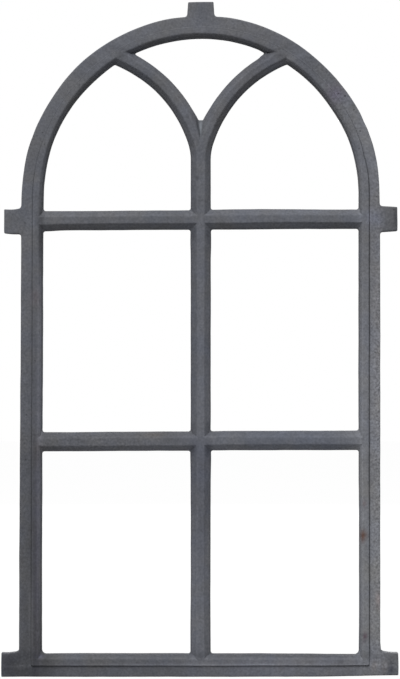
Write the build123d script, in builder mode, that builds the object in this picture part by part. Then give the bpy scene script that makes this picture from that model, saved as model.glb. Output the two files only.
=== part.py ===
from build123d import *
import os
from math import cos, hypot, radians, sin, sqrt, tan

os.makedirs("parts", exist_ok=True)

# A half-round headed barn window, cast in one piece of grey iron.
# X runs across the window, +Y into the wall and +Z up.
# The origin is the middle of the sill's underside, in the plane of the glass seat.

# Frame, as seen from the front
frame_width = 411
frame_face = 24.5
flange_width = 12

# Bars and the lights between them; stilt is the upright stretch of the arched lights' sides
mullion_face = 23.3
transom_face = 22.5
tracery_face = 21
lower_light_height = 234
middle_light_height = 231
stilt = 15.5

# Tracery: each bar is an arc that leaves the mullion at fork_rise above the springline,
# leaning by tracery_lean degrees, and ends in the arch tracery_head degrees from the crown
fork_rise = 47
tracery_lean = 12
tracery_head = 32
fork_blend_radius = 60

# Web that fills the crotch between the tracery bars up to web_fill above their parting
web_fill = 5.5
web_ramp = 33

# Section: the moulding stands in front of the glass seat, the rebate lies behind it
face_depth = 10
rebate_depth = 10
glass_ledge = 7.5
flange_step = 2
bar_bevel = 5.8
frame_bevel_inset = 4.6
light_corner_radius = 1.8

# Drafts of the pattern, in degrees
bevel_angle = 45
foot_draft = 14
step_draft = 27
rebate_draft = 3

# Lugs that are built into the joints of the masonry
lug_thickness = 10
sill_lug_height = 28.5
transom_lug_height = 30
side_lug_reach = 19.5
crown_lug_width = 31.5
crown_lug_reach = 16.5
lug_taper = 4
lug_root_radius = 3.5

# Softened arrises of the outline
front_arris = 1.2
back_arris = 0.8

# Places that follow from the sizes above
lower_transom = frame_face + lower_light_height + transom_face / 2
upper_transom = lower_transom + transom_face + middle_light_height
springline = upper_transom + transom_face / 2 + stilt
fork = springline + fork_rise
arch_centreline = (frame_width - frame_face) / 2
head_reach = arch_centreline * sin(radians(tracery_head))
head_height = springline + arch_centreline * cos(radians(tracery_head))
foot_thickness = face_depth - bar_bevel
foot_setback = foot_thickness * tan(radians(foot_draft))
bar_inset = foot_setback + bar_bevel * tan(radians(bevel_angle))
flange_level = face_depth - flange_step

# Circle that the right-hand tracery bar's centreline follows
bar_chord = hypot(head_reach, head_height - fork)
bar_radius = bar_chord**2 / (
    2 * head_reach * cos(radians(tracery_lean)) - 2 * (head_height - fork) * sin(radians(tracery_lean))
)
bar_centre = (bar_radius * cos(radians(tracery_lean)), fork - bar_radius * sin(radians(tracery_lean)))

# How far a cut runs past the face that it starts from or leaves by
OVERRUN = 0.5


def bar_edge_height(offset, across):
    """Height at which the right-hand tracery bar's edge, offset from its centreline, passes across."""
    return bar_centre[1] + sqrt((bar_radius + offset) ** 2 - (bar_centre[0] - across) ** 2)


web_top = bar_edge_height(tracery_face / 2, 0) + web_fill


def arched_field(margin):
    """The upright outline with its half-round head, drawn in by margin all round."""
    radius = frame_width / 2 - margin
    with BuildSketch() as field:
        with BuildLine():
            CenterArc((0, springline), radius, 0, 180)
            Polyline(
                (-radius, springline),
                (-radius, margin),
                (radius, margin),
                (radius, springline),
            )
        make_face()
    return field.sketch


def tracery_bar(side, face):
    """One curved bar, from the fork on the mullion into the middle of the arch."""
    lean = (side * sin(radians(tracery_lean)), cos(radians(tracery_lean)))
    with BuildSketch() as bar:
        with BuildLine():
            TangentArc((0, fork), (side * head_reach, head_height), tangent=lean)
        trace(line_width=face)
    return bar.sketch


def glazing_bars(setback):
    """Mullion, transoms and tracery, each narrowed by setback on both sides."""
    mullion_side = mullion_face / 2 - setback
    mullion_top = bar_edge_height(setback - tracery_face / 2, mullion_side) + OVERRUN
    with BuildSketch() as bars:
        with Locations((0, mullion_top / 2)):
            Rectangle(2 * mullion_side, mullion_top)
        with Locations((0, lower_transom), (0, upper_transom)):
            Rectangle(frame_width - frame_face, transom_face - 2 * setback)
        add(tracery_bar(1, tracery_face - 2 * setback))
        add(tracery_bar(-1, tracery_face - 2 * setback))
    return bars.sketch


def lights(bar_setback, frame_setback, rounding=0, web=False):
    """The lights, drawn outwards over the bars and over the frame by these setbacks."""
    mullion_side = mullion_face / 2 - bar_setback
    with BuildSketch() as openings:
        add(arched_field(frame_face - frame_setback))
        add(glazing_bars(bar_setback), mode=Mode.SUBTRACT)
        if web:
            with Locations((0, (fork + web_top) / 2)):
                Rectangle(tracery_face, web_top - fork, mode=Mode.SUBTRACT)
        forks = openings.vertices().filter_by(
            lambda v: abs(abs(v.X) - mullion_side) < 0.01 and v.Y > upper_transom + transom_face
        )
        if rounding:
            fillet(openings.vertices().filter_by(lambda v: v not in forks), rounding)
        fillet(forks, fork_blend_radius + bar_setback)
    return openings.sketch


def lug(root, direction, width, reach):
    """One lug, width wide where it leaves the frame and tapered towards its free end."""
    slope = tan(radians(lug_taper))
    half_buried = width / 2 + flange_width * slope
    half_end = width / 2 - reach * slope
    with BuildSketch() as tab:
        with Locations(Location(root, direction)):
            Polygon(
                (-flange_width, -half_buried),
                (reach, -half_end),
                (reach, half_end),
                (-flange_width, half_buried),
                align=None,
            )
    return tab.sketch


def is_lug_root(corner):
    """Whether a corner of the outline is one where a lug leaves the frame."""
    if corner.Y < springline - 0.01:
        return corner.Y > 0.01 and abs(abs(corner.X) - frame_width / 2) < 0.01
    rise = corner.Y - springline
    return rise > 0.01 and abs(hypot(corner.X, rise) - frame_width / 2) < 0.01


def lugged_outline():
    """The frame's outline with its lugs: two at the sill, two at the transom, one on the crown."""
    with BuildSketch() as outline:
        add(arched_field(0))
        with Locations((0, sill_lug_height / 2)):
            Rectangle(frame_width + 2 * side_lug_reach, sill_lug_height)
        add(lug((frame_width / 2, upper_transom), 0, transom_lug_height, side_lug_reach))
        add(lug((-frame_width / 2, upper_transom), 180, transom_lug_height, side_lug_reach))
        add(lug((0, springline + frame_width / 2), 90, crown_lug_width, crown_lug_reach))
        fillet(outline.vertices().filter_by(is_lug_root), lug_root_radius)
    return outline.sketch


with BuildPart() as casting:
    # Rim, as deep as the rebate
    with BuildSketch(Plane.XZ.offset(-rebate_depth)):
        add(arched_field(0))
    extrude(amount=rebate_depth + flange_level)
    fillet(casting.faces().sort_by(Axis.Y)[-1].edges(), back_arris)

    # Flange with its lugs, and the raised band that steps up from it
    with BuildSketch(Plane.XZ.offset(flange_level - lug_thickness)):
        add(lugged_outline())
    extrude(amount=lug_thickness)
    fillet(casting.faces().sort_by(Axis.Y)[0].edges(), front_arris)
    with BuildSketch(Plane.XZ.offset(flange_level)):
        add(arched_field(flange_width))
    extrude(amount=flange_step, taper=step_draft)

    # Rebates for the glass, which leave the ribs between them
    with BuildSketch(Plane.XZ):
        add(lights(glass_ledge, glass_ledge))
    extrude(amount=-rebate_depth - OVERRUN, taper=-rebate_draft, mode=Mode.SUBTRACT)

    # Lights: a drafted foot with rounded corners, then the bevel with its mitred corners
    foot_start = -OVERRUN * tan(radians(foot_draft))
    with BuildSketch(Plane.XZ.offset(-OVERRUN)):
        add(lights(foot_start, foot_start, light_corner_radius, web=True))
    extrude(amount=face_depth + 2 * OVERRUN, taper=-foot_draft, mode=Mode.SUBTRACT)
    bevel_start = foot_setback - OVERRUN * tan(radians(bevel_angle))
    with BuildSketch(Plane.XZ.offset(foot_thickness - OVERRUN)):
        add(lights(bevel_start, bevel_start + frame_bevel_inset - bar_inset))
    extrude(amount=bar_bevel + 2 * OVERRUN, taper=-bevel_angle, mode=Mode.SUBTRACT)

    # Web in the crotch of the fork, ramped from the foot up to the ridge
    with BuildSketch(Plane.YZ):
        with BuildLine():
            Polyline(
                (-foot_thickness, web_top - foot_setback),
                (-face_depth, web_top - foot_setback - web_ramp),
                (-foot_thickness / 2, web_top - foot_setback - web_ramp),
                (-foot_thickness / 2, web_top - foot_setback),
                close=True,
            )
        make_face()
    extrude(amount=tracery_face / 4, both=True)

casting.part.label = "window_casting"
export_step(casting.part, "parts/window_casting.step")
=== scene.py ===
import copy
from itertools import chain
from math import atan2, cos, pi, radians, sin, sqrt, tan

import bmesh
import bpy
import numpy as np
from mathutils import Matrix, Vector
from mathutils.geometry import delaunay_2d_cdt


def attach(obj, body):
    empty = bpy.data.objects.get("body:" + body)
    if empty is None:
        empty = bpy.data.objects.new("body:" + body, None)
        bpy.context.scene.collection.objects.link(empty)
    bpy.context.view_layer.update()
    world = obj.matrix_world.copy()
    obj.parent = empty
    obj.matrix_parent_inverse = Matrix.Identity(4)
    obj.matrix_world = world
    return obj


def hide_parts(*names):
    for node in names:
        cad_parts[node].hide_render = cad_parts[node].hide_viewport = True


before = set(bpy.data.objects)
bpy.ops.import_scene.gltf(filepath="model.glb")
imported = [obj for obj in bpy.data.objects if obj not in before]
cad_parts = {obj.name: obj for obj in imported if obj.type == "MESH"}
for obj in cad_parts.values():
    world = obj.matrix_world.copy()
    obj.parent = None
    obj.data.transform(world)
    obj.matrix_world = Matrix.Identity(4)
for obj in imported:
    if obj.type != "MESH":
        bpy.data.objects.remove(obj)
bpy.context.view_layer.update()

MM = 0.001

# Sizes of the casting in millimetres, as in the solid model. A level is a height in front of the
# glass seat; setback is how far a surface stands back from the edge of the clear opening.
FRAME_WIDTH = 411.0
FRAME_FACE = 24.5
FLANGE_WIDTH = 12.0
MULLION_FACE = 23.3
TRANSOM_FACE = 22.5
TRACERY_FACE = 21.0
LOWER_TRANSOM = 269.75
UPPER_TRANSOM = 523.25
SPRINGLINE = 550.0
FORK = 597.0
FORK_BLEND = 60.0
TRACERY_LEAN = radians(12)
TRACERY_HEAD = radians(32)
WEB_FILL = 5.5
WEB_RAMP = 33.0
FACE_LEVEL = 10.0
FLANGE_LEVEL = 8.0
LUG_BACK_LEVEL = -2.0
BACK_LEVEL = -10.0
GLASS_LEDGE = 7.5
BEVEL = 5.8
FRAME_INSET = 4.6
FOOT_SLOPE = tan(radians(14))
STEP_SLOPE = tan(radians(27))
REBATE_SLOPE = tan(radians(3))
SILL_LUG_HEIGHT = 28.5
TRANSOM_LUG_HEIGHT = 30.0
SIDE_LUG_REACH = 19.5
CROWN_LUG_WIDTH = 31.5
CROWN_LUG_REACH = 16.5
LUG_SLOPE = tan(radians(4))
LUG_ROOT = 3.5

# Radii of the cast arrises and roots, and of the small corners
RIDGE_ARRIS = 2.6
SEAT_ARRIS = 0.5
BACK_ARRIS = 0.8
FRONT_ARRIS = 1.2
SEAT_ROOT = 1.2
BEVEL_ROOT = 0.3
LUG_CORNER = 1.0
LEAST_CORNER = 0.3
STEP_CORNER = 1.6
WEB_CORNER = 2.2
REBATE_CORNER = 1.0
MITRE = 0.35

# Corners of the lights, by the two members that meet there: the radius at the glass seat, and the
# level from which the corner sharpens into a mitre, which it reaches SHARPENING higher
CORNERS = {
    "bars": (2.3, 3.7),
    "mixed": (2.5, 4.2),
    "sill": (2.6, 4.2),
    "frames": (5.0, 5.6),
    "tip": (1.1, 4.2),
}
SHARPENING = 1.1

# Setback of the station half-way over the glass seat, and how far the web's foot drops there
SEAT_MIDDLE = 3.4
WEB_DROP = 9.0

# Spacing of points along an outline and on a flat, how near those on the flat and in its pits come
# to its border as shares of that, and how many points go round a corner of each kind
RUN = 3.4
FLAT = 2.8
PLAIN_GAP = 0.3
PITTED_GAP = 0.05
BEND_POINTS = {"fork": 10, "lug": 4, "root": 4, "step": 3} | dict.fromkeys(CORNERS, 5)
WEB_POINTS = 3
WEB_BEND_POINTS = 6

# Lengths of the curved sides, and of the mullion's up to the fork's blend; they only set how many
# points those sides get
ARCH_LENGTH = 165
UNDER_BAR_LENGTH = 125
BLENDED_LENGTH = 40
OVER_BAR_LENGTH = 105
HEAD_LENGTH = 100

# Pits: rings of points as shares of a pit's size, points in a ring, the room cleared for a pit, its
# distance from a border, painted shade per millimetre of depth, and how many fine ones there are
PIT_RINGS = (0.35, 0.7, 1.0, 1.35)
PIT_SPOKES = 10
PIT_ROOM = 1.7
PIT_MARGIN = 1.2
PIT_SHADE = 1.8
FINE_PITS = 1400

# Bulges that leave the pattern: centre, spread and shift, each across the window and up
DEPARTURES = (
    (-200, 60, 120, 320, -0.9, 0),
    (-215, 60, 18, 260, -2.2, 0),
    (-180, 570, 14, 70, 1.1, 0),
    (-165, 640, 40, 50, 0.6, 0),
    (212, 560, 14, 60, -0.7, 0),
    (181, 150, 12, 120, 0.4, 0),
    (12, 100, 12, 90, -0.3, 0),
    (-170, 400, 110, 230, 0, -1.1),
    (170, 400, 110, 230, 0, 1.2),
    (-218, 523, 14, 30, 0, -1.6),
    (220, 530, 14, 20, 0, 0.3),
    (223, 523, 5, 20, 0.45, 0),
    (225, 0, 60, 14, 0, 1.7),
    (-226, 10, 14, 30, -1.1, 0),
    (226, 10, 14, 30, 1.3, 0),
    (0, 27, 230, 11, 0, 1.7),
    (45, 536, 50, 9, 0, 0.9),
    (0, 640, 10, 12, 0, 1.0),
    (80, 752, 55, 16, 0, 1.9),
    (40, 762, 40, 12, 0, 0.6),
    (-90, 742, 60, 20, 0, 0.5),
    (150, 690, 60, 60, -0.3, 0),
    (-150, 690, 60, 60, 0.7, -0.2),
    (62, 670, 30, 50, -0.9, -0.2),
    (-62, 670, 30, 50, 1.0, -0.4),
    (0, 772, 20, 12, 0, 0.6),
    (-218, 29, 14, 12, 0, -2.4),
    (222, 30, 16, 14, 0, -1.9),
    (208.5, 32, 4, 4, 0.9, 0.9),
    (-150, 26, 60, 10, 0, 0.9),
    (-178, 512, 16, 8, 0, -1.0),
    (187, 300, 3, 420, -1.3, 0),
    (-193.5, 300, 3, 420, 0.45, 0),
    (193.5, 300, 3, 420, -0.45, 0),
    (-181.5, 400, 8, 130, 0.45, 0),
    (-181.5, 134, 8, 60, -0.2, 0),
    (181.5, 400, 8, 150, -0.3, 0),
    (181.5, 70, 8, 40, 0.35, 0),
    (-11.7, 500, 4, 14, -0.45, 0),
    (11.7, 500, 4, 14, 0.45, 0),
    (-11.7, 252, 4, 14, -0.35, 0),
    (11.7, 250, 4, 14, 0.45, 0),
    (-11.7, 50, 4, 30, -0.35, 0),
    (-5.2, 390, 3, 170, 0.9, 0),
    (5.2, 390, 3, 170, -0.9, 0),
    (5.2, 130, 3, 120, -1.2, 0),
    (-87.5, 713, 6, 5, 2.6, 1.6),
    (87, 713, 7, 5, -3.0, 1.6),
    (74, 713, 6, 6, -2.6, 0.2),
    (-212, 539, 9, 8, 0, -0.8),
    (100, 527.6, 110, 2.4, 0, 0.9),
    (-100, 527.6, 80, 2.4, 0, 0.5),
    (100, 518.2, 110, 2.4, 0, 1.0),
    (-100, 518.2, 80, 2.4, 0, 0.7),
    (0, 274.2, 180, 2.4, 0, 0.6),
    (100, 264.8, 110, 2.4, 0, 0.6),
    (-20, 25, 150, 5, 0, 0.3),
    (35, 270, 22, 16, 0, 0.6),
    (100, 536, 90, 6, 0, 0.5),
)

# The same along the frame: degrees round from the right-hand springing and distance from the
# arch's centre, the spread of both, and the shift outwards
FRAME_DEPARTURES = (
    (100, 185.6, 75, 2.2, 0.8),
    (3, 205, 5, 8, -0.3),
    (24, 205, 9, 8, 0.5),
    (60, 206, 9, 8, 1.1),
    (81, 206, 4, 8, 0.5),
    (101, 206, 8, 8, 0.9),
    (132, 206, 9, 8, 0.8),
    (147, 205, 5, 8, -0.3),
    (174, 205, 7, 8, -0.8),
    (20, 181, 7, 5, 0.4),
    (34, 181, 6, 5, -0.5),
    (98, 181, 10, 5, -0.35),
    (132, 181, 8, 5, -0.4),
    (162, 181, 7, 5, 0.45),
)

# Stains on the skin, and painted light and shade: centre, spread and change of red, green and
# blue, or one number for all. The first are large painted light and shade, the left stile darker
# and the right lighter; then come bevels, step lines and crossings made lighter or darker as
# painted light and shadow, single marks, and last the rust.
STAINS_AND_PAINTED_LIGHT = (
    # Painted light and shade: the left stile darker towards the bottom, the right stile lighter
    (-190, 60, 22, 260, -0.42),
    (-195, 30, 22, 110, -0.05),
    (192, 60, 22, 480, 0.5, 0.5, 0.48),
    (190, 370, 20, 110, 0.14, 0.13, 0.12),
    (190, 60, 20, 130, -0.12),
    (204, 300, 7, 400, 0.2, 0.18, 0.16),
    (204, 380, 7, 110, 0.16, 0.14, 0.12),
    (190, 635, 30, 55, 0.3),
    (-30, 747, 130, 28, 0.1),
    (-58, 690, 38, 50, -0.1, -0.09, -0.08),
    (58, 690, 38, 50, -0.1, -0.1, -0.08),
    (-218, 14, 12, 20, -0.4, -0.4, -0.38),
    (218, 523, 12, 20, -0.14),
    (0, 280, 13, 330, -0.03, -0.01, 0.04),
    (0, 400, 4.5, 150, 0.14),
    # Painted shadow on the mullion under the lower transom, and painted shade on the transom's
    # lower bevel
    (0, 190, 14, 80, -0.14, -0.14, -0.12),
    (-100, 263, 80, 9, -0.08, -0.08, -0.07),
    (-85, 269, 70, 3.5, -0.1, -0.1, -0.09),
    (0, 242, 14, 24, -0.12, -0.12, -0.1),
    (8.5, 210, 3, 45, -0.12),
    (100, 272, 90, 15, 0.04, 0.08, 0.16),
    (-110, 520, 70, 12, -0.04),
    (110, 523, 80, 14, 0.03, 0.05, 0.09),
    (110, 10, 110, 16, 0.5, 0.5, 0.54),
    (100, 24, 110, 3.5, -0.38),
    (-110, 5, 110, 8, 0.08, 0.08, 0.1),
    (-100, 24, 110, 3.5, -0.15),
    (100, 21.5, 110, 2, -0.16),
    # Painted light: the sill's step, which faces down, made lighter
    (0, 12.8, 230, 1.2, 0.6),
    (30, 12.6, 150, 1.4, 0.9),
    # Painted light and shade on the stiles' bevels and step lines
    (-183.5, 210, 3, 190, 0.35, 0.34, 0.38),
    (-183.5, 400, 2.5, 110, 0.2),
    (-187.5, 150, 4, 160, -0.16, -0.17, -0.13),
    (-190, 400, 4, 110, -0.1),
    (-193.5, 523, 2.5, 20, 0.1),
    (192.2, 290, 1.0, 300, -0.28, -0.28, -0.26),
    (193.5, 524, 2.5, 12, 0.5, 0.5, 0.55),
    (-183.5, 505, 3, 40, -0.45),
    (183, 230, 3, 260, 0.36),
    # Painted light on the upper transom's upper bevel
    (110, 531.5, 90, 3, 0.14),
    (0, 763, 16, 10, -0.13),
    (0, 170, 5, 90, -0.1),
    (100, 268, 90, 4, -0.08),
    (-100, 276, 80, 4, -0.14),
    (-189, 436, 6, 9, 0.06, -0.03, -0.04),
    (-8.5, 100, 3, 90, 0.22, 0.22, 0.24),
    (8.5, 300, 3, 200, 0.07, 0.07, 0.08),
    # Painted shadow on the mullion's bevels beside its crossings with the transoms
    (-8.7, 260, 3, 8, -0.25),
    (8.7, 260, 3, 10, -0.42),
    (-8.7, 285, 3, 7, -0.2),
    (8.7, 285, 3, 8, -0.3),
    (-8.7, 508, 3, 8, -0.35),
    (8.7, 508, 3, 9, -0.33),
    (0, 543, 14, 7, -0.1),
    (184, 270, 5, 9, -0.16, -0.17, -0.2),
    (187, 24, 6, 8, -0.02, -0.04, -0.1),
    (-186, 256, 6, 14, -0.1, -0.13, -0.18),
    (188, 120, 5, 160, -0.02, -0.03, -0.07),
    (200, 120, 6, 150, 0.04, 0.03, -0.01),
    (-6, 274.5, 16, 1.6, 0.1, 0.1, 0.12),
    (-0.2, 629, 1.9, 8, 0.6, 0.66, 0.62),
    (-7.0, 641, 2.0, 5, -0.25),
    (-4.4, 635, 1.3, 4, -0.5),
    (-3.2, 629, 1.2, 4, -0.6),
    (-1.9, 623, 1.0, 4, -0.5),
    (2.2, 629, 0.9, 4, -0.4),
    (1.0, 622, 0.8, 4, -0.3),
    (154, 667, 9, 10, 0.02, -0.06, 0.12),
    (-4.3, 570.8, 1.8, 2.2, -0.4),
    (174.6, 653.5, 2.5, 5, -0.35, -0.33, -0.36),
    (216.8, 9, 2.6, 9, -0.74, -0.72, -0.64),
    (198.5, 12, 3, 6, 0.12, 0, -0.1),
    (160, 15, 3, 4, -0.3),
    (-183, 22, 4, 1.6, 0.3, 0.3, 0.45),
    (-193.2, 60, 2, 60, 0.3),
    (216, 509, 9, 2, -0.5),
    (-215, 508, 9, 2, -0.3),
    (209.5, 8, 2.5, 8, 0.12, 0.02, -0.06),
    (222.6, 523, 1.8, 13, -0.4),
    (200, 524, 9, 9, -0.06, -0.03, 0.08),
    (-18.5, 643.5, 2.2, 1.8, 0.2),
    (-15.5, 640.5, 2.0, 1.8, -0.2),
    (5, 628, 4, 12, 0.02, 0.0, -0.06),
    (-52, 277.5, 14, 4, 0.1, 0.03, -0.05),
    (-156.5, 496, 4, 5, 0.08, -0.03, -0.05),
    (185.7, 162.3, 4.0, 5.2, -0.6, -0.98, -1.08),
    (185.4, 156.3, 2.8, 3.6, -0.22, -0.4, -0.44),
    (187.5, 198, 2.4, 3.6, -0.15, -0.34, -0.36),
    (188.4, 47, 2.4, 4.0, -0.66, -0.88, -0.76),
    (186.5, 40, 2.2, 2.8, -0.36, -0.42, -0.38),
    (203, 88, 3, 9, 0.3, 0.1, 0.05),
)

# Painted light and shade along the frame, mostly on the arch's inner bevel, by their place:
# degrees round from the right-hand springing and distance from the arch's centre
FRAME_STAINS_AND_PAINTED_LIGHT = (
    # Painted shade on the arch's inner bevel
    (95, 184.9, 75, 1.8, -0.28),
    (38, 193.3, 9, 1.5, 0.12),
    (145, 183.5, 35, 2.6, -0.14),
    (85, 183.5, 25, 2.6, -0.05),
    (25, 183, 20, 2.2, 0.28),
    (16, 200, 9, 5, 0.16, 0.16, 0.14),
)

# Painted light and shade on the tracery bars' bevels, by their place: across the window and square
# to the bar's centreline
BAR_STAINS_AND_PAINTED_LIGHT = (
    (85, -6.8, 32, 2.4, 0.42),
    (-80, -6.8, 35, 2.4, 0.18),
    (85, 7.5, 22, 2.4, -0.16),
    (-90, 7.5, 20, 2.4, -0.2, -0.2, -0.18),
)

# Waves of the surface: axis, height, length and seed
WAVES = (
    (0, 0.10, 70, 3),
    (0, 0.04, 16, 4),
    (1, 0.12, 55, 5),
    (1, 0.05, 14, 6),
    (2, 0.10, 70, 7),
    (2, 0.04, 16, 8),
)

# Where the sand skin is coarser: centre, spread and change
COARSER = (
    (204, 250, 8, 330, 1.7),
    (-204, 300, 8, 300, 0.4),
    (165, 680, 35, 60, 0.7),
    (-140, 270, 60, 14, 0.6),
)

# Pits that show in the face: place, size and depth
PITS = (
    (-189.6, 362.7, 1.3, 0.5),
    (-4.0, 517.2, 1.2, 0.4),
    (0.5, 517.0, 1.0, 0.35),
    (157.8, 667.2, 1.3, 0.5),
    (165.3, 664.3, 1.6, 0.7),
    (175.3, 648.4, 1.4, 0.5),
    (182.4, 624.0, 1.4, 0.5),
)

HALF = FRAME_WIDTH / 2
OPENING = HALF - FRAME_FACE
FOOT_LEVEL = FACE_LEVEL - BEVEL
BAR_INSET = FOOT_LEVEL * FOOT_SLOPE + BEVEL
ARCH_CENTRE = np.array([0.0, SPRINGLINE])
HEAD_REACH = (HALF - FRAME_FACE / 2) * sin(TRACERY_HEAD)
HEAD_RISE = SPRINGLINE + (HALF - FRAME_FACE / 2) * cos(TRACERY_HEAD) - FORK
BAR_RADIUS = (HEAD_REACH**2 + HEAD_RISE**2) / (
    2 * HEAD_REACH * cos(TRACERY_LEAN) - 2 * HEAD_RISE * sin(TRACERY_LEAN)
)
BAR_CENTRE = np.array([BAR_RADIUS * cos(TRACERY_LEAN), FORK - BAR_RADIUS * sin(TRACERY_LEAN)])
CROTCH = BAR_CENTRE[1] + sqrt((BAR_RADIUS + TRACERY_FACE / 2) ** 2 - BAR_CENTRE[0] ** 2)
WEB_TOP = CROTCH + WEB_FILL

# Angles of the stations round a quarter round
QUARTER = np.radians([0, 30, 60, 90])


# Outlines


class Side:
    """One side of a closed outline that runs anticlockwise: a straight line or an arc of a circle.

    A line is normal . p = reach, its normal pointing into the outline; moved outwards by s, its
    reach is reach - s. An arc has a centre and a radius, and turn is +1 where the outline lies
    inside the circle and -1 where it lies outside; moved outwards, its radius is radius + turn * s.
    The length only says how many points a side gets; a line works out its own if none is given.
    """

    def __init__(self, part, start=None, end=None, length=None, centre=None, radius=None, turn=1):
        self.part, self.centre, self.radius, self.turn = part, centre, radius, turn
        if centre is None:
            start, end = np.array(start, float), np.array(end, float)
            along = (end - start) / np.linalg.norm(end - start)
            self.normal = np.array([-along[1], along[0]])
            self.reach = float(self.normal @ start)
            length = length or np.linalg.norm(end - start)
        self.points = max(2, int(round(length / RUN)))

    def twin(self):
        """The same side on the left of the mullion; an arc here has its centre on the mullion."""
        twin = copy.copy(self)
        if self.centre is None:
            twin.normal = self.normal * np.array([-1, 1])
        return twin

    def foot(self, point, s):
        """The point of this side, moved outwards by s, that is nearest to point."""
        if self.centre is None:
            return point + self.normal * (self.reach - s - point @ self.normal)[:, None]
        away = point - self.centre
        away = away / np.linalg.norm(away, axis=1)[:, None]
        return self.centre + away * (self.radius + self.turn * s)[:, None]

    def run(self, start, end):
        """Evenly spaced points from start towards end, the last one left out."""
        share = np.arange(self.points) / self.points
        if self.centre is None:
            return start[:, None] + (end - start)[:, None] * share[:, None]
        return arc(self.centre, start, end, share, self.turn)


def arc(centre, start, end, share, turn=0):
    """Points at these shares of the way round centre from start to end: p = c + R (cos a, sin a).

    The angle a runs the way turn says, or the short way round where turn is 0.
    """
    centre = np.broadcast_to(centre, start.shape)
    a, b = start - centre, end - centre
    first = np.arctan2(a[:, 1], a[:, 0])
    sweep = np.arctan2(b[:, 1], b[:, 0]) - first
    sweep = turn * np.mod(turn * sweep, 2 * pi) if turn else np.mod(sweep + pi, 2 * pi) - pi
    angle = first[:, None] + sweep[:, None] * share
    reach = np.linalg.norm(a, axis=1)[:, None, None]
    return centre[:, None] + np.stack([np.cos(angle), np.sin(angle)], -1) * reach


def meet(one, other, s, t, near):
    """Where two sides cross when moved outwards by s and t: of two crossings, the one by near."""
    if one.centre is None and other.centre is None:
        normals = np.stack([one.normal, other.normal])
        return np.linalg.solve(normals, np.stack([one.reach - s, other.reach - t])).T
    if one.centre is not None and other.centre is not None:
        r, q = one.radius + one.turn * s, other.radius + other.turn * t
        apart = other.centre - one.centre
        distance = np.linalg.norm(apart)
        along = (r**2 - q**2 + distance**2) / (2 * distance)
        middle = one.centre + apart / distance * along[:, None]
        half = np.sqrt(np.maximum(r**2 - along**2, 0))
        across = np.array([-apart[1], apart[0]]) / distance
    else:
        line, ring, u, v = (one, other, s, t) if one.centre is None else (other, one, t, s)
        off = line.reach - u - line.normal @ ring.centre
        middle = ring.centre + line.normal * off[:, None]
        half = np.sqrt(np.maximum((ring.radius + ring.turn * v) ** 2 - off**2, 0))
        across = np.array([-line.normal[1], line.normal[0]])
    choices = np.stack([middle + across * half[:, None], middle - across * half[:, None]])
    gap = np.linalg.norm(choices - np.array(near, float), axis=2)
    return np.where((gap[0] < gap[1])[:, None], choices[0], choices[1])


def shares(count):
    """Evenly spaced shares of a stretch, from 0 up to but without 1."""
    return np.arange(count) / count


def outline(sides, corners, setback, radius):
    """Rings of one outline, as an array of stations x points x 2.

    At station k each side is moved outwards by setback[part][k]. corners[i] = (kind, near) lies
    between side i and the next: an arc of radius[kind][k] whose centre is where both sides cross
    when moved back by that radius, negative for a corner that turns inwards. It is None for a
    plain tangent join.
    """
    leave, arrive, bends = [], [], []
    for i, corner in enumerate(corners):
        one, other = sides[i], sides[(i + 1) % len(sides)]
        s, t = setback[one.part], setback[other.part]
        if corner is None:
            line, ring = (one, other) if one.centre is None else (other, one)
            join = line.foot(np.broadcast_to(ring.centre, (len(s), 2)), setback[line.part])
            leave.append(join)
            arrive.append(join)
            bends.append(np.empty((len(s), 0, 2)))
            continue
        kind, near = corner
        r = radius[kind]
        centre = meet(one, other, s - r, t - r, near)
        leave.append(one.foot(centre, s))
        arrive.append(other.foot(centre, t))
        bends.append(arc(centre, leave[-1], arrive[-1], shares(BEND_POINTS[kind])))
    runs = []
    for i, side in enumerate(sides):
        runs += [side.run(arrive[i - 1], leave[i]), bends[i]]
    return np.concatenate(runs, 1)


def mirrored(rings):
    """The same rings on the other side of the mullion, still anticlockwise."""
    return (rings * np.array([-1.0, 1.0]))[:, ::-1]


# The section round a light


def larger(a, b, soft):
    """The larger of a and b, the change rounded off: (a + b + sqrt((a - b)^2 + soft^2)) / 2."""
    return (a + b + np.sqrt((a - b) ** 2 + soft**2)) / 2


def stations(level, of_bars, of_frame, wear=0, painted_shade=0):
    """Rows of a section: level, setback of the bars and of the frame, wear and painted shade."""
    return np.stack(np.broadcast_arrays(np.atleast_1d(level), of_bars, of_frame, wear, painted_shade), 1)


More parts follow.
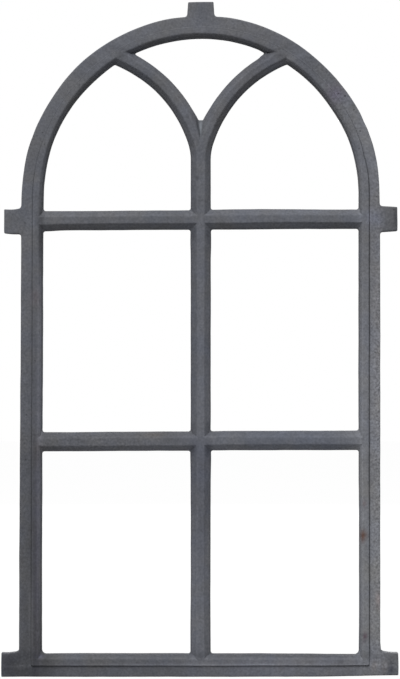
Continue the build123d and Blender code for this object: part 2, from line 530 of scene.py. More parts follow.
def light_section():
    """The section round a light, from the rebate's back arris over the seat to the face.

    Walls are drafted lines, s = slope * level; arrises and roots are quarter rounds; foot and bevel
    are joined by the larger of their two setbacks; the ridge is an arc from the bevel to the flat.
    """
    deep = GLASS_LEDGE - BACK_LEVEL * REBATE_SLOPE
    inset = deep + BACK_ARRIS + 0.7
    behind = stations(BACK_LEVEL, inset, inset)
    inset = deep + BACK_ARRIS * (1 - np.sin(QUARTER))
    arris = stations(BACK_LEVEL + BACK_ARRIS * (1 - np.cos(QUARTER)), inset, inset, 0.6)
    inset = GLASS_LEDGE - BACK_LEVEL / 2 * REBATE_SLOPE
    # Painted shade: a little on the rebate's wall and the seat, and most in the seat's root
    wall = stations(BACK_LEVEL / 2, inset, inset, 0, 0.2)
    level = SEAT_ROOT * (np.sin(QUARTER) - 1)
    inset = GLASS_LEDGE - SEAT_ROOT * (1 - np.cos(QUARTER)) - level * REBATE_SLOPE
    root = stations(level, inset, inset, 0, 0.9)
    seat = stations(0, SEAT_MIDDLE, SEAT_MIDDLE, 0, 0.3)
    level = SEAT_ARRIS * (1 - np.cos(QUARTER))
    inset = SEAT_ARRIS * (1 - np.sin(QUARTER)) + level * FOOT_SLOPE
    lip = stations(level, inset, inset, 0.5)
    level = np.array([2.2, 3.4, 3.85, 4.2, 4.55, 5.0, 5.6, 6.2, 6.75, 7.2, 7.65, 8.3, 8.9])
    foot = level * FOOT_SLOPE
    of_bars = larger(foot, BAR_INSET - FACE_LEVEL + level, BEVEL_ROOT)
    of_frame = larger(foot, FRAME_INSET - FACE_LEVEL + level, BEVEL_ROOT)
    slope = stations(level, of_bars, of_frame)
    bend = np.radians([45, 30, 15, 0])
    lap = RIDGE_ARRIS * (tan(pi / 8) - np.sin(bend))
    level = FACE_LEVEL - RIDGE_ARRIS * (1 - np.cos(bend))
    ridge = stations(level, BAR_INSET + lap, FRAME_INSET + lap, 1)
    flat = stations(FACE_LEVEL, BAR_INSET + 1.6, FRAME_INSET + 1.6)
    return np.concatenate([behind, arris, wall, root, seat, lip, slope, ridge, flat]).T


LEVEL, BAR_SETBACK, FRAME_SETBACK, WEAR, PAINTED_SHADE = light_section()
ON_OR_BEHIND_SEAT = LEVEL < 0.001
IN_REBATE = ON_OR_BEHIND_SEAT & (BAR_SETBACK > SEAT_MIDDLE + 0.1)
AT_SEAT_MIDDLE = ON_OR_BEHIND_SEAT & (np.abs(BAR_SETBACK - SEAT_MIDDLE) < 0.1)
SETBACK = {"bar": BAR_SETBACK, "frame": FRAME_SETBACK}
BEND = {"fork": FORK_BLEND + BAR_SETBACK}
for kind, (radius, start) in CORNERS.items():
    sharpness = np.clip((LEVEL - start) / SHARPENING, 0, 1)
    BEND[kind] = (radius + LEVEL * FOOT_SLOPE) * (1 - sharpness) + MITRE * sharpness
    BEND[kind][IN_REBATE] = REBATE_CORNER
WEB_LINE = WEB_TOP - np.where(
    LEVEL < FOOT_LEVEL,
    LEVEL * FOOT_SLOPE,
    FOOT_LEVEL * FOOT_SLOPE + WEB_RAMP * (LEVEL - FOOT_LEVEL) / BEVEL,
)
WEB_LINE[IN_REBATE] = 0
WEB_LINE[AT_SEAT_MIDDLE] = WEB_TOP - WEB_DROP


def box_light(floor, top, floor_part, kinds):
    """A light between two level sides, the mullion and a stile, on the right-hand side."""
    inner, outer = MULLION_FACE / 2, OPENING
    sides = [
        Side(floor_part, (inner, floor), (outer, floor)),
        Side("frame", (outer, floor), (outer, top)),
        Side("bar", (outer, top), (inner, top)),
        Side("bar", (inner, top), (inner, floor)),
    ]
    places = [(outer, floor), (outer, top), (inner, top), (inner, floor)]
    return outline(sides, list(zip(kinds, places)), SETBACK, BEND)


def arched_light():
    """The light beside the fork: transom, stile, arch, underside of the tracery bar, mullion.

    Where sides cross twice, a corner's place is a rough one that says which crossing is meant.
    """
    floor = UPPER_TRANSOM + TRANSOM_FACE / 2
    inner = MULLION_FACE / 2
    under = BAR_RADIUS - TRACERY_FACE / 2
    sides = [
        Side("bar", (inner, floor), (OPENING, floor)),
        Side("frame", (OPENING, floor), (OPENING, SPRINGLINE)),
        Side("frame", length=ARCH_LENGTH, centre=ARCH_CENTRE, radius=OPENING),
        Side("bar", length=UNDER_BAR_LENGTH, centre=BAR_CENTRE, radius=under),
        Side("bar", (inner, FORK), (inner, floor), length=BLENDED_LENGTH),
    ]
    corners = [
        ("mixed", (OPENING, floor)),
        None,
        ("mixed", (112, 690)),
        ("fork", (80, 580)),
        ("bars", (inner, floor)),
    ]
    return outline(sides, corners, SETBACK, BEND)


def spandrel_light():
    """The light between the tracery bars, worked out for the right half and mirrored.

    At its foot each ring has a corner of radius r that touches the web's line and the bar's arc of
    radius q: its centre is (Cx - sqrt((q + r)^2 - (z - Cz)^2), web + r), or on the centreline where
    that would pass it, so that the web narrows to a point and then to the crotch of the two bars.
    """
    radius = BAR_RADIUS + TRACERY_FACE / 2
    bar = Side("bar", length=OVER_BAR_LENGTH, centre=BAR_CENTRE, radius=radius, turn=-1)
    head = Side("frame", length=HEAD_LENGTH, centre=ARCH_CENTRE, radius=OPENING)
    r = np.minimum(BEND["bars"], np.where(IN_REBATE, REBATE_CORNER, WEB_CORNER))
    q = bar.radius - BAR_SETBACK + r
    z = WEB_LINE + r
    x = BAR_CENTRE[0] - np.sqrt(np.maximum(q**2 - (z - BAR_CENTRE[1]) ** 2, 0))
    closed = (x < 0) | IN_REBATE
    x = np.where(closed, 0, x)
    z = np.where(closed, BAR_CENTRE[1] + np.sqrt(q**2 - BAR_CENTRE[0] ** 2), z)
    low = np.stack([x, z], 1)
    touch = bar.foot(low, BAR_SETBACK)
    sill = np.stack([x, z - r], 1)
    middle = np.stack([0 * x, z - r], 1)
    web = middle[:, None] + (sill - middle)[:, None] * shares(WEB_POINTS)[:, None]
    turn = arc(low, sill, touch, shares(WEB_BEND_POINTS))
    r = BEND["tip"]
    corner = meet(bar, head, BAR_SETBACK - r, FRAME_SETBACK - r, (95, 705))
    leave, arrive = bar.foot(corner, BAR_SETBACK), head.foot(corner, FRAME_SETBACK)
    bend = arc(corner, leave, arrive, shares(BEND_POINTS["tip"]))
    crown = np.stack([0 * FRAME_SETBACK, SPRINGLINE + OPENING + FRAME_SETBACK], 1)
    rise, over = bar.run(touch, leave), head.run(arrive, crown)
    half = np.concatenate([web, turn, rise, bend, over, crown[:, None]], 1)
    return np.concatenate([half, mirrored(half)[:, 1:-1]], 1)


def light_rings():
    """The rings of all seven lights, each beside its mirror image."""
    foot, head = LOWER_TRANSOM - TRANSOM_FACE / 2, LOWER_TRANSOM + TRANSOM_FACE / 2
    top = UPPER_TRANSOM - TRANSOM_FACE / 2
    halves = (
        box_light(FRAME_FACE, foot, "frame", ("frames", "mixed", "bars", "sill")),
        box_light(head, top, "bar", ("mixed", "mixed", "bars", "bars")),
        arched_light(),
    )
    return [rings for half in halves for rings in (half, mirrored(half))] + [spandrel_light()]


# The outside


def lugged_rings(inset):
    """The outline with its five lugs, drawn in by inset at each station.

    The right half is listed from the sill upwards, and the left half is its mirror image. On the
    underside the nearest points are moved to +-HALF, where the rim behind has its corners.
    """
    end = HALF + SIDE_LUG_REACH
    sill = SILL_LUG_HEIGHT
    root = TRANSOM_LUG_HEIGHT / 2
    tip = root - SIDE_LUG_REACH * LUG_SLOPE
    low, high = UPPER_TRANSOM - root, UPPER_TRANSOM + root
    low_tip, high_tip = UPPER_TRANSOM - tip, UPPER_TRANSOM + tip
    crown = SPRINGLINE + HALF
    top = crown + CROWN_LUG_REACH
    neck = CROWN_LUG_WIDTH / 2
    nose = neck - CROWN_LUG_REACH * LUG_SLOPE
    sweep = HALF * atan2(crown - SPRINGLINE, neck)
    right = [
        Side("edge", (end, 0), (end, sill)),
        Side("edge", (end, sill), (HALF, sill)),
        Side("edge", (HALF, sill), (HALF, low)),
        Side("edge", (HALF, low), (end, low_tip)),
        Side("edge", (end, low_tip), (end, high_tip), length=TRANSOM_LUG_HEIGHT),
        Side("edge", (end, high_tip), (HALF, high)),
        Side("edge", (HALF, high), (HALF, SPRINGLINE)),
        Side("edge", length=sweep, centre=ARCH_CENTRE, radius=HALF),
        Side("edge", (neck, crown), (nose, top)),
    ]
    bends = [
        ("lug", (end, sill)),
        ("root", (HALF, sill)),
        ("root", (HALF, low)),
        ("lug", (end, low_tip)),
        ("lug", (end, high_tip)),
        ("root", (HALF, high)),
        None,
        ("root", (neck, crown)),
        ("lug", (nose, top)),
    ]
    floor = Side("edge", (-end, 0), (end, 0))
    roof = Side("edge", (nose, top), (-nose, top))
    sides = [floor] + right + [roof] + [side.twin() for side in right[::-1]]
    corners = [("lug", (end, 0))] + bends
    corners += [bend and (bend[0], (-bend[1][0], bend[1][1])) for bend in bends[::-1]]
    corners += [("lug", (-end, 0))]
    radius = {"lug": np.maximum(LUG_CORNER - inset, LEAST_CORNER), "root": -(LUG_ROOT + inset)}
    rings = outline(sides, corners, {"edge": -inset}, radius)
    x, z = rings[0].T
    underside = np.where(z < 0.001, x, np.inf)
    for corner in (-HALF, HALF):
        rings[:, np.abs(underside - corner).argmin(), 0] = corner
    return rings


def field_rings(margin):
    """The upright outline with its half-round head, drawn in by margin at each station."""
    sides = [
        Side("edge", (-HALF, 0), (HALF, 0)),
        Side("edge", (HALF, 0), (HALF, SPRINGLINE)),
        Side("edge", length=pi * HALF, centre=ARCH_CENTRE, radius=HALF),
        Side("edge", (-HALF, SPRINGLINE), (-HALF, 0)),
    ]
    corners = [("step", (HALF, 0)), None, None, ("step", (-HALF, 0))]
    return outline(sides, corners, {"edge": -margin}, {"step": np.full(len(margin), STEP_CORNER)})


def drawn_in(points, inset):
    """Points of the frame's plain edge moved square to it by inset, towards the middle.

    Above the springline the distance from the arch's centre shrinks by inset; below it x stays
    within HALF - inset and z at inset or more.
    """
    x, z = points.T
    rise = np.maximum(z - SPRINGLINE, 0)
    reach = np.hypot(x, rise)
    scale = np.where(z > SPRINGLINE, (reach - inset) / np.maximum(reach, 1), 1)
    x = np.clip(x * scale, -(HALF - inset), HALF - inset)
    z = np.where(z > SPRINGLINE, SPRINGLINE + rise * scale, np.maximum(z, inset))
    return np.stack([x, z], 1)


# Putting the surface together


class Shell:
    """Points, faces and masks of a closed surface, gathered strip by strip and flat by flat."""

    def __init__(self):
        self.points, self.masks, self.faces, self.count = [], [], [], 0

    def add(self, plane, level, wear, painted_shade):
        """Adds points given in the window's plane, at a level, and returns their numbers."""
        plane = np.asarray(plane, float).reshape(-1, 2)
        level, wear, painted_shade = (np.broadcast_to(v, len(plane)) for v in (level, wear, painted_shade))
        self.points.append(np.stack([plane[:, 0], -level, plane[:, 1]], 1))
        self.masks.append(np.stack([wear, painted_shade], 1))
        self.count += len(plane)
        return np.arange(self.count - len(plane), self.count)

    def strip(self, numbers, outward):
        """Four-sided faces between neighbouring rings, the rings being closed."""
        a, b = numbers[:-1], numbers[1:]
        a2, b2 = np.roll(a, -1, 1), np.roll(b, -1, 1)
        order = [a, a2, b2, b] if outward else [a, b, b2, a2]
        self.faces.append(np.stack(order, -1).reshape(-1, 4))

    def rings(self, rings, level, wear, painted_shade, outward):
        """Adds rings from back to front and joins them; returns the numbers of their points.

        Level, wear and painted shade have one value, one for each ring, or one for each point.
        """
        count, size = rings.shape[:2]
        values = [
            v if np.size(v) == count * size else np.repeat(np.broadcast_to(v, count), size)
            for v in (level, wear, painted_shade)
        ]
        numbers = self.add(rings.reshape(-1, 2), *values).reshape(count, size)
        self.strip(numbers, outward)
        return numbers

    def fill(self, loops, level, facing, pits=None):
        """Triangles over the flat between closed loops of points that are already there.

        Loose points inside are a hexagonal grid at FLAT apart, with rings of closer points round
        each pit, which sinks by depth (1 - (r / size)^2)^2. They are joined by a constrained
        Delaunay triangulation; a triangle stays where a ray from its middle crosses the loops an
        odd number of times.
        """
        known = np.concatenate(loops)
        border = np.concatenate(self.points)[known][:, [0, 2]]
        first = np.cumsum([0] + [len(loop) for loop in loops[:-1]])
        start = np.arange(len(known))
        end = np.concatenate([np.roll(span, -1) for span in np.split(start, first[1:])])
        spans = border[start], border[end]
        low, high = border.min(0), border.max(0)
        rows = np.arange(low[1], high[1], FLAT * sin(pi / 3))
        x, z = np.meshgrid(np.arange(low[0], high[0], FLAT), rows)
        x = x + (np.arange(len(rows)) % 2)[:, None] * FLAT / 2
        loose = np.stack([x.ravel(), z.ravel()], 1)
        sunk = np.zeros(len(loose))
        if pits is not None:
            pits = pits[inside(pits[:, :2], *spans)]
            pits = pits[distance_to(pits[:, :2], *spans) > PIT_MARGIN * pits[:, 2]]
            away = np.linalg.norm(loose[:, None] - pits[:, :2], axis=2)
            loose = loose[(away > PIT_ROOM * pits[:, 2]).all(1)]
            turns = 2 * pi * shares(PIT_SPOKES)
            ring, turn = (v.ravel() for v in np.meshgrid(PIT_RINGS, turns))
            turn = turn + ring * pi
            reach = np.stack([ring * np.cos(turn), ring * np.sin(turn)], 1)
            around = (pits[:, None, :2] + pits[:, None, 2:3] * reach).reshape(-1, 2)
            depth = (pits[:, 3:] * np.maximum(1 - ring**2, 0) ** 2).ravel()
            sunk = np.concatenate([np.zeros(len(loose)), depth, pits[:, 3]])
            loose = np.concatenate([loose, around, pits[:, :2]])
        keep = inside(loose, *spans)
        keep &= distance_to(loose, *spans) > np.where(sunk > 0, PITTED_GAP, PLAIN_GAP) * FLAT
        loose, sunk = loose[keep], sunk[keep]
        corners = [Vector(place) for place in np.concatenate([border, loose]).tolist()]
        edges = np.stack([start, end], 1).tolist()
        places, _, triangles, origins = delaunay_2d_cdt(corners, edges, [], 0, 1e-7, True)[:4]
        places, triangles = np.array([place[:] for place in places]), np.array(triangles)
        triangles = triangles[inside(places[triangles].mean(1), *spans)]
        numbers = np.concatenate([known, self.add(loose, level - sunk, 0, PIT_SHADE * sunk)])
        faces = numbers[np.array([origin[0] for origin in origins])[triangles]]
        corner = places[triangles]
        turn = np.cross(corner[:, 1] - corner[:, 0], corner[:, 2] - corner[:, 0])
        wrong = (turn > 0) != (facing == "front")
        faces[wrong] = faces[wrong][:, ::-1]
        self.faces.append(faces)


def blocks(count):
    """The numbers up to count in blocks of about 400, which keeps the arrays between small."""
    return np.array_split(np.arange(count), max(1, count // 400))


def inside(points, start, end):
    """Whether each point is inside the loops: a ray to the right crosses them an odd number of
    times."""
    held = np.zeros(len(points), bool)
    rise = np.where(end[:, 1] == start[:, 1], 1, end[:, 1] - start[:, 1])
    for block in blocks(len(points)):
        x, z = points[block, 0][:, None], points[block, 1][:, None]
        spans = (start[:, 1] > z) != (end[:, 1] > z)
        cross = start[:, 0] + (z - start[:, 1]) / rise * (end[:, 0] - start[:, 0])
        held[block] = (spans & (cross > x)).sum(1) % 2 == 1
    return held


def distance_to(points, start, end):
    """How far each point is from the nearest of the spans from start to end."""
    along = end - start
    square = np.maximum((along**2).sum(1), 1e-12)
    nearest = np.empty(len(points))
    for block in blocks(len(points)):
        away = points[block][:, None] - start[None]
        share = np.clip((away * along).sum(-1) / square, 0, 1)
        nearest[block] = np.linalg.norm(away - share[..., None] * along, axis=-1).min(1)
    return nearest


def waves(points, length, seed, count=14):
    """Smooth noise between about -1 and 1: the sum of sines along seeded directions, their
    wavelengths about this length, over the root of their count."""
    random = np.random.default_rng(seed)
    ways = random.normal(size=(count, 3))
    pitch = length * random.uniform(0.7, 1.6, count)
    ways *= (2 * pi / pitch / np.linalg.norm(ways, axis=1))[:, None]
    return np.sin(points @ ways.T + random.uniform(0, 2 * pi, count)).sum(1) / np.sqrt(count)


def bulges(points, patches):
    """Sum of soft patches, each a row of cx, cz, sx, sz and one or more amounts: every amount times
    exp(-((x - cx) / sx)^2 - ((z - cz) / sz)^2)."""
    total = 0
    for patch in patches:
        away = (points - np.array(patch[:2])) / np.array(patch[2:4])
        total = total + np.exp(-(away**2).sum(1))[:, None] * np.array(patch[4:])
    return total


def along_frame(plane):
    """Places along the frame: the angle atan2(z - springline, x) in degrees and the distance
    from the arch's centre; down the stiles the angle goes on at one radian for each HALF."""
    x, z = plane.T
    rise = z - SPRINGLINE
    angle = np.arctan2(np.maximum(rise, 0), x) - np.sign(x) * np.maximum(-rise, 0) / HALF
    return np.stack([np.degrees(angle), np.hypot(x, np.maximum(rise, 0))], 1)


def along_bar(plane):
    """Places on the tracery: x, and the distance |p - c| - R from the bar's centreline."""
    x, z = plane.T
    return np.stack([x, np.hypot(np.abs(x) - BAR_CENTRE[0], z - BAR_CENTRE[1]) - BAR_RADIUS], 1)


def pits():
    """Pits of the sand mould as place, size and depth: those that show, and fine ones scattered
    at random."""
    random = np.random.default_rng(11)
    x = random.uniform(-HALF - SIDE_LUG_REACH, HALF + SIDE_LUG_REACH, FINE_PITS)
    z = random.uniform(0, SPRINGLINE + HALF, FINE_PITS)
    size = random.uniform(0.5, 1.0, FINE_PITS) ** 2 * 1.5
    depth = size * random.uniform(0.12, 0.35, FINE_PITS)
    return np.concatenate([np.array(PITS), np.stack([x, z, size, depth], 1)])


def raised_step(shell):
    """The step from the flange up to the raised band: painted shadow at its foot, a worn arris on
    top.

    Each row is how far a ring lies inside the flange, its level above it, wear, painted shadow,
    and the painted shade on the step's lit face that takes their place up the arch, in proportion
    to (z - springline) / HALF.
    """
    run = (FACE_LEVEL - FLANGE_LEVEL) * STEP_SLOPE
    margin, level, wear, painted_shade, face_shade = np.array([
        (-1.0, 0, 0, 0, 0),
        (-0.25, 0.03, 0, 0.8, 0),
        (0.12, 0.2, 0, 1, 0),
        (0.3, 0.5, 0, 0.6, 0.5),
        (run - 0.2, 1.65, 0.6, 0.2, 0.85),
        (run + 0.05, 1.9, 1, 0, 0.55),
        (run + 0.4, 2.0, 0.6, 0, 0.05),
        (run + 1.3, 2.0, 0, 0, 0),
    ]).T
    rings = field_rings(FLANGE_WIDTH + margin)
    x, z = rings.reshape(-1, 2).T
    wear, painted_shade, face_shade = (np.repeat(v, rings.shape[1]) for v in (wear, painted_shade, face_shade))
    upward = np.clip((z - SPRINGLINE) / HALF, 0, 1)
    # Painted shadow at the step's foot: stronger on the right stile than on the left, weak along
    # the sill, gone higher up the arch, where painted shade on the step's face takes over
    shadow_by_side = np.where(z > 2 * FLANGE_WIDTH, 0.8 + 0.4 * x / HALF, 0.2)
    step_shade = painted_shade * np.clip(1 - 2.5 * upward, 0, 1) * shadow_by_side
    step_shade = step_shade + face_shade * upward
    return shell.rings(rings, level + FLANGE_LEVEL, wear * (1 - upward), step_shade, outward=True)


def flange_edge(shell):
    """The edge of the flange and its lugs: wall, rounded front arris and a strip of the flat."""
    inset = np.concatenate([[0, 0], FRONT_ARRIS * (1 - np.cos(QUARTER)), [FRONT_ARRIS + 1.0]])
    arris = FLANGE_LEVEL - FRONT_ARRIS * (1 - np.sin(QUARTER))
    level = np.concatenate([[LUG_BACK_LEVEL, 2.0], arris, [FLANGE_LEVEL]])
    wear = np.array([0, 0, 0.3, 1, 1, 0.3, 0])
    return shell.rings(lugged_rings(inset), level, wear, 0, outward=True)


def back_rim(shell, edge):
    """The rim behind the lugs: the loop where it leaves them, and its ring on the back's flat."""
    rim = rim_loop(shell, edge)
    plane = np.concatenate(shell.points)[rim][:, [0, 2]]
    inset = np.concatenate([BACK_ARRIS * (1 - np.cos(QUARTER)), [BACK_ARRIS + 1.0]])
    level = np.concatenate([BACK_LEVEL + BACK_ARRIS * (1 - np.sin(QUARTER)), [BACK_LEVEL]])
    rings = [rim]
    for i, h, wear in zip(inset, level, (0.2, 0.6, 0.6, 0.2, 0)):
        rings.append(shell.add(drawn_in(plane, i), h, wear, 0))
    shell.strip(np.stack(rings)[::-1], outward=True)
    return rim, rings[-1]


def rim_loop(shell, edge):
    """The numbers of the rim's points, anticlockwise: where the edge is plain they are the
    outline's own, and across the back of each lug they follow the plain edge from root to root."""
    outer = lugged_rings(np.zeros(1))[0]
    plain = on_plain_edge(outer)
    begin = np.flatnonzero(plain & ~np.roll(plain, 1))[0]
    outer, plain, edge = (np.roll(values, -begin, 0) for values in (outer, plain, edge))
    loop = []
    for run in np.split(np.arange(len(outer)), np.flatnonzero(np.diff(plain)) + 1):
        if plain[run[0]]:
            loop.append(edge[run])
        else:
            behind_lug = between(outer[run[0] - 1], outer[(run[-1] + 1) % len(outer)])
            # Painted shade where the rim leaves the back of a lug
            loop.append(shell.add(behind_lug, LUG_BACK_LEVEL, 0, 0.6))
    return np.concatenate(loop)


def on_plain_edge(points):
    """Which points of the lugged outline lie on the frame's plain edge, which the rim follows."""
    x, z = points.T
    on_arch = (z > SPRINGLINE) & (np.abs(np.hypot(x, z - SPRINGLINE) - HALF) < 1e-6)
    on_side = (z <= SPRINGLINE) & (z > 1) & (np.abs(np.abs(x) - HALF) < 1e-6)
    on_floor = (np.abs(z) < 1e-9) & (np.abs(x) < HALF + 1e-6)
    return on_arch | on_side | on_floor


def between(a, b):
    """Points along the frame's plain edge strictly between two of its points."""
    if min(a[1], b[1]) > SPRINGLINE:
        first, last = (atan2(p[1] - SPRINGLINE, p[0]) for p in (a, b))
        count = max(2, int(round(abs(last - first) * HALF / RUN)))
        angle = first + (last - first) * np.arange(1, count) / count
        return ARCH_CENTRE + HALF * np.stack([np.cos(angle), np.sin(angle)], 1)
    count = max(2, int(round(np.linalg.norm(b - a) / RUN)))
    return a + (b - a) * np.arange(1, count)[:, None] / count


def casting():
    """The whole casting as one closed surface in millimetres."""
    shell = Shell()
    pitted = pits()
    lights = [shell.rings(r, LEVEL, WEAR, PAINTED_SHADE, outward=False) for r in light_rings()]
    step = raised_step(shell)
    shell.fill([step[-1]] + [light[-1] for light in lights], FACE_LEVEL, "front", pitted)
    edge = flange_edge(shell)
    shell.fill([edge[-1], step[0]], FLANGE_LEVEL, "front", pitted)
    rim, behind = back_rim(shell, edge[0])
    shell.fill([behind] + [light[0] for light in lights], BACK_LEVEL, "back")
    shell.fill([edge[0], rim], LUG_BACK_LEVEL, "back")
    return shell


def uneven(points):
    """The casting as it came out: bulges that leave the pattern, and waves of about 0.1 mm.

    Outwards is away from the arch's centre above the springline, and straight sideways below it.
    """
    plane = points[:, [0, 2]]
    away = np.stack([plane[:, 0], np.maximum(plane[:, 1] - SPRINGLINE, 0)], 1)
    away /= np.maximum(np.linalg.norm(away, axis=1), 1)[:, None]
    shift = bulges(plane, DEPARTURES) + bulges(along_frame(plane), FRAME_DEPARTURES) * away
    moved = np.stack([shift[:, 0], 0 * shift[:, 0], shift[:, 1]], 1)
    for axis, height, length, seed in WAVES:
        moved[:, axis] += height * waves(points, length, seed)
    return points + moved


def new_object(name, data):
    """A new object in the scene with this mesh, lamp or camera."""
    made = bpy.data.objects.new(name, data)
    bpy.context.scene.collection.objects.link(made)
    return made


def window_object(shell, material):
    """The casting as a mesh object, its doubled points merged.

    Its attributes are arris, painted shade and stain with painted light: where the skin is worn,
    where painted shade darkens roots, pits and the step, and the colour that the skin is multiplied
    by, stains with painted light and shade, with the coarseness of its grain as alpha.
    """
    points = np.concatenate(shell.points)
    plane = points[:, [0, 2]]
    arris, painted_shade = np.concatenate(shell.masks).T
    stain_and_shade_tone = bulges(plane, STAINS_AND_PAINTED_LIGHT) + bulges(along_frame(plane), FRAME_STAINS_AND_PAINTED_LIGHT)
    stain_and_shade_tone = stain_and_shade_tone + bulges(along_bar(plane), BAR_STAINS_AND_PAINTED_LIGHT)
    stain_and_painted_light = 1 + np.concatenate([stain_and_shade_tone, bulges(plane, COARSER)], 1)
    faces = list(chain.from_iterable(block.tolist() for block in shell.faces))
    mesh = bpy.data.meshes.new("cast_window")
    mesh.from_pydata((uneven(points) * MM).tolist(), [], faces)
    for name, values in (("arris", arris), ("painted_shade", painted_shade)):
        data = mesh.attributes.new(name, "FLOAT", "POINT").data
        data.foreach_set("value", values.astype(np.float32))
    colours = mesh.attributes.new("stain_and_painted_light", "FLOAT_COLOR", "POINT")
    colours.data.foreach_set("color", stain_and_painted_light.astype(np.float32).ravel())
    work = bmesh.new()
    work.from_mesh(mesh)
    bmesh.ops.remove_doubles(work, verts=work.verts, dist=2e-6)
    work.to_mesh(mesh)
    work.free()
    mesh.polygons.foreach_set("use_smooth", np.ones(len(mesh.polygons), bool))
    mesh.set_sharp_from_angle(angle=radians(38))
    piece = new_object("cast_window", mesh)
    piece.data.materials.append(material)
    even = piece.modifiers.new("even_shading", "WEIGHTED_NORMAL")
    even.keep_sharp = True
    return piece


# Materials

BLUISH = (0.103, 0.108, 0.125, 1)
GREYISH = (0.110, 0.111, 0.118, 1)
# How far the painted shade of roots, pits, lug backs and the step darkens the colour
PAINTED_SHADE_DARKENS = -0.55
WEAR_LIGHTENS = 0.12
WEAR_SMOOTHS = -0.1
ROUGHNESS = 0.72


def put(tree, kind, **settings):
    """A new node of this kind with its settings."""
    made = tree.nodes.new(kind)
    for name, value in settings.items():
        setattr(made, name, value)
    return made


def feed(tree, socket, value):
    """Links a socket, or sets a plain value."""
    if isinstance(value, bpy.types.NodeSocket):
        tree.links.new(value, socket)
    else:
        socket.default_value = value


def reckon(tree, operation, *values, clamp=False):
    """The result of a Math node."""
    made = put(tree, "ShaderNodeMath", operation=operation, use_clamp=clamp)
    for socket, value in zip(made.inputs, values):
        feed(tree, socket, value)
    return made.outputs[0]


def blend(tree, kind, share, below, above):
    """The result of a Mix node on two colours."""
    made = put(tree, "ShaderNodeMix", data_type="RGBA", blend_type=kind)
    for name, value in (("Factor_Float", share), ("A_Color", below), ("B_Color", above)):
        feed(tree, next(i for i in made.inputs if i.identifier == name), value)
    return next(o for o in made.outputs if o.identifier == "Result_Color")


def attribute(tree, name, kind="Fac"):
    """A value or a colour that the mesh holds at each point."""
    return put(tree, "ShaderNodeAttribute", attribute_name=name).outputs[kind]


def speckle_group():
    """Noise of one grain size: Signed runs from about -1 to 1, Factor is 1 + Contrast x Signed."""
    group = bpy.data.node_groups.new("speckle", "ShaderNodeTree")
    new_socket = group.interface.new_socket
    new_socket("Position", in_out="INPUT", socket_type="NodeSocketVector")
    for name, value in (("Grain mm", 2.0), ("Contrast", 0.1), ("Seed", 0.0), ("Detail", 2.0)):
        socket = new_socket(name, in_out="INPUT", socket_type="NodeSocketFloat")
        socket.default_value = value
    for name in ("Signed", "Factor"):
        new_socket(name, in_out="OUTPUT", socket_type="NodeSocketFloat")
    inputs = put(group, "NodeGroupInput").outputs
    outputs = put(group, "NodeGroupOutput").inputs
    noise = put(group, "ShaderNodeTexNoise", noise_dimensions="4D", normalize=False)
    group.links.new(inputs["Position"], noise.inputs["Vector"])
    group.links.new(inputs["Seed"], noise.inputs["W"])
    group.links.new(inputs["Detail"], noise.inputs["Detail"])
    group.links.new(reckon(group, "DIVIDE", 1 / MM, inputs["Grain mm"]), noise.inputs["Scale"])
    signed = reckon(group, "MULTIPLY", noise.outputs[0], 1.6)
    factor = reckon(group, "MULTIPLY_ADD", signed, inputs["Contrast"], 1.0)
    group.links.new(signed, outputs["Signed"])
    group.links.new(factor, outputs["Factor"])
    return group


def speckle(tree, group, position, grain, contrast, seed, detail=2):
    """Places the speckle group with its values and returns its outputs."""
    made = put(tree, "ShaderNodeGroup", node_tree=group)
    values = {"Grain mm": grain, "Contrast": contrast, "Seed": seed, "Detail": detail}
    for name, value in ({"Position": position} | values).items():
        feed(tree, made.inputs[name], value)
    return made.outputs


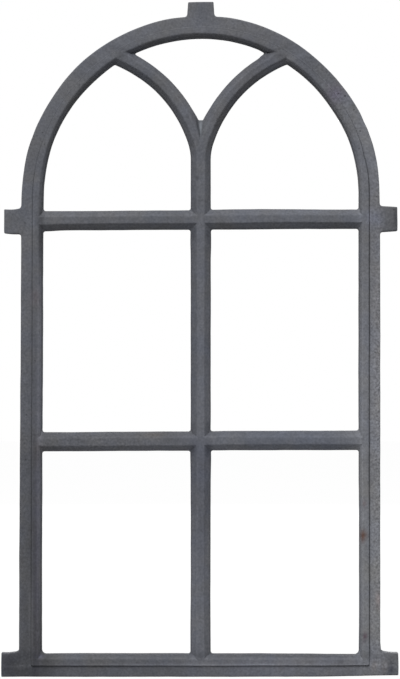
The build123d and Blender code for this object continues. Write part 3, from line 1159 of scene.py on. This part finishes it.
def iron():
    """Grey cast iron with its dark sand skin.

    Its colour is a drift between two greys, times the mesh's stains with their painted light and
    shade, times speckles of three sizes, painted shade in the corners and wear on the arrises.
    """
    material = bpy.data.materials.new("cast_iron")
    material.use_nodes = True
    tree = material.node_tree
    shader = tree.nodes["Principled BSDF"]
    place = put(tree, "ShaderNodeTexCoord").outputs["Object"]
    group = speckle_group()
    coarseness = reckon(tree, "MULTIPLY", attribute(tree, "stain_and_painted_light", "Alpha"), 0.15)
    cloud = speckle(tree, group, place, grain=55, contrast=0.05, seed=1)
    patch = speckle(tree, group, place, grain=11, contrast=0.065, seed=2, detail=3)
    sand = speckle(tree, group, place, grain=2.6, contrast=coarseness, seed=3)
    drift = speckle(tree, group, place, grain=24, contrast=0.5, seed=4)
    crumb = speckle(tree, group, place, grain=5, contrast=1, seed=5, detail=3)

    share = reckon(tree, "MULTIPLY_ADD", drift["Signed"], 0.5, 0.5, clamp=True)
    skin = blend(tree, "MIX", share, BLUISH, GREYISH)
    light = reckon(tree, "MULTIPLY", cloud["Factor"], patch["Factor"])
    light = reckon(tree, "MULTIPLY", light, sand["Factor"])
    # Painted shade: darker in the seat's roots, in pits, behind the lugs and along the step
    shade_factor = reckon(tree, "MULTIPLY_ADD", attribute(tree, "painted_shade"), PAINTED_SHADE_DARKENS, 1.0)
    light = reckon(tree, "MULTIPLY", light, shade_factor)
    worn = reckon(tree, "MULTIPLY_ADD", crumb["Signed"], 0.35, 0.45, clamp=True)
    worn = reckon(tree, "MULTIPLY", worn, attribute(tree, "arris"), clamp=True)
    rubbed = reckon(tree, "MULTIPLY_ADD", worn, WEAR_LIGHTENS, 1.0)
    light = reckon(tree, "MULTIPLY", light, rubbed)
    # The mesh's stains, with painted light and shade on stiles, bevels, step lines and crossings
    colour = blend(tree, "MULTIPLY", 1.0, skin, attribute(tree, "stain_and_painted_light", "Color"))
    tree.links.new(blend(tree, "MULTIPLY", 1.0, colour, light), shader.inputs["Base Color"])

    rough = reckon(tree, "MULTIPLY_ADD", patch["Signed"], 0.05, ROUGHNESS)
    rough = reckon(tree, "MULTIPLY_ADD", worn, WEAR_SMOOTHS, rough)
    tree.links.new(rough, shader.inputs["Roughness"])
    shader.inputs["Specular IOR Level"].default_value = 0.1
    bump = put(tree, "ShaderNodeBump")
    bump.inputs["Strength"].default_value = 0.35
    bump.inputs["Distance"].default_value = 0.1 * MM
    relief = reckon(tree, "MULTIPLY_ADD", patch["Signed"], 0.6, sand["Signed"])
    tree.links.new(relief, bump.inputs["Height"])
    tree.links.new(bump.outputs[0], shader.inputs["Normal"])
    return material


# Floor, light and camera

WHITE = (1, 1, 1, 1)
WORLD_STRENGTH = 0.24
FLOOR_REACH = 6.0
FLOOR_DROP = 0.0005
VIEW_DISTANCE = 2.6
VIEW_HEIGHT = 0.7794
WINDOW_MIDDLE = (0, 0, 0.39)

# Lamps: name, place, what they point at, size and power
LAMPS = (
    ("key", (-0.45, -2.45, 3.5), WINDOW_MIDDLE, 1.5, 138),
    ("front", (-0.2, -3.6, 2.0), WINDOW_MIDDLE, 1.6, 36),
    ("bounce", (0, -0.3, 0.01), (0, -0.3, 1), 0.5, 0.95),
    ("behind", (0, 2.6, 0.8), WINDOW_MIDDLE, 0.8, 45),
)


def seen_white(tree, target, white, other):
    """Light Path: camera, glossy and transmission rays see white; others see the other shader."""
    path = put(tree, "ShaderNodeLightPath").outputs
    seen = reckon(tree, "MAXIMUM", path["Is Camera Ray"], path["Is Glossy Ray"])
    seen = reckon(tree, "MAXIMUM", seen, path["Is Transmission Ray"])
    mix = put(tree, "ShaderNodeMixShader")
    for socket, value in zip(mix.inputs, (seen, other, white)):
        tree.links.new(value, socket)
    tree.links.new(mix.outputs[0], target)


def surround():
    """A world that gives a soft light and is seen as white."""
    world = bpy.data.worlds.new("surround")
    bpy.context.scene.world = world
    world.use_nodes = True
    tree = world.node_tree
    soft, white = tree.nodes["Background"], put(tree, "ShaderNodeBackground")
    for background, strength in ((soft, WORLD_STRENGTH), (white, 1)):
        background.inputs["Color"].default_value = WHITE
        background.inputs["Strength"].default_value = strength
    target = tree.nodes["World Output"].inputs["Surface"]
    seen_white(tree, target, white.outputs[0], soft.outputs[0])


def pale_floor():
    """A floor that is seen as nearly white and keeps the window's shadow."""
    material = bpy.data.materials.new("pale_floor")
    material.use_nodes = True
    tree = material.node_tree
    shader = tree.nodes["Principled BSDF"]
    shader.inputs["Base Color"].default_value = (0.05, 0.05, 0.05, 1)
    shader.inputs["Roughness"].default_value = 0.9
    shader.inputs["Specular IOR Level"].default_value = 0
    bright = put(tree, "ShaderNodeEmission")
    bright.inputs["Strength"].default_value = 0.97
    both = put(tree, "ShaderNodeAddShader")
    tree.links.new(bright.outputs[0], both.inputs[0])
    tree.links.new(shader.outputs[0], both.inputs[1])
    target = tree.nodes["Material Output"].inputs["Surface"]
    seen_white(tree, target, both.outputs[0], shader.outputs[0])
    corners = np.array([(-1, -1, 0), (1, -1, 0), (1, 1, 0), (-1, 1, 0)]) * FLOOR_REACH
    mesh = bpy.data.meshes.new("floor")
    mesh.from_pydata(corners.tolist(), [], [(0, 1, 2, 3)])
    floor = new_object("floor", mesh)
    floor.data.materials.append(material)
    floor.location.z = -FLOOR_DROP


def lamps():
    """Soft lamps above and in front, a low one that lifts the undersides as a pale card on the
    floor would, and one behind for the hidden side; the camera sees none of them."""
    for name, place, aim, size, power in LAMPS:
        lamp = bpy.data.lights.new(name, "AREA")
        lamp.size = size
        lamp.energy = power
        holder = new_object(name, lamp)
        holder.location = place
        holder.rotation_euler = (Vector(aim) - Vector(place)).to_track_quat("-Z", "Y").to_euler()
        holder.visible_camera = False


def camera():
    """Square on to the face, at half height, far enough for little perspective."""
    data = bpy.data.cameras.new("camera")
    data.sensor_fit = "VERTICAL"
    data.sensor_height = 24
    data.lens = data.sensor_height * VIEW_DISTANCE / VIEW_HEIGHT
    eye = new_object("camera", data)
    eye.location = (-0.0009, -VIEW_DISTANCE, 0.3862)
    eye.rotation_euler = (pi / 2, 0, 0)
    bpy.context.scene.camera = eye


bpy.context.scene.view_settings.view_transform = "Standard"
window = window_object(casting(), iron())
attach(window, "root")
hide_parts("window_casting")
surround()
pale_floor()
lamps()
camera()
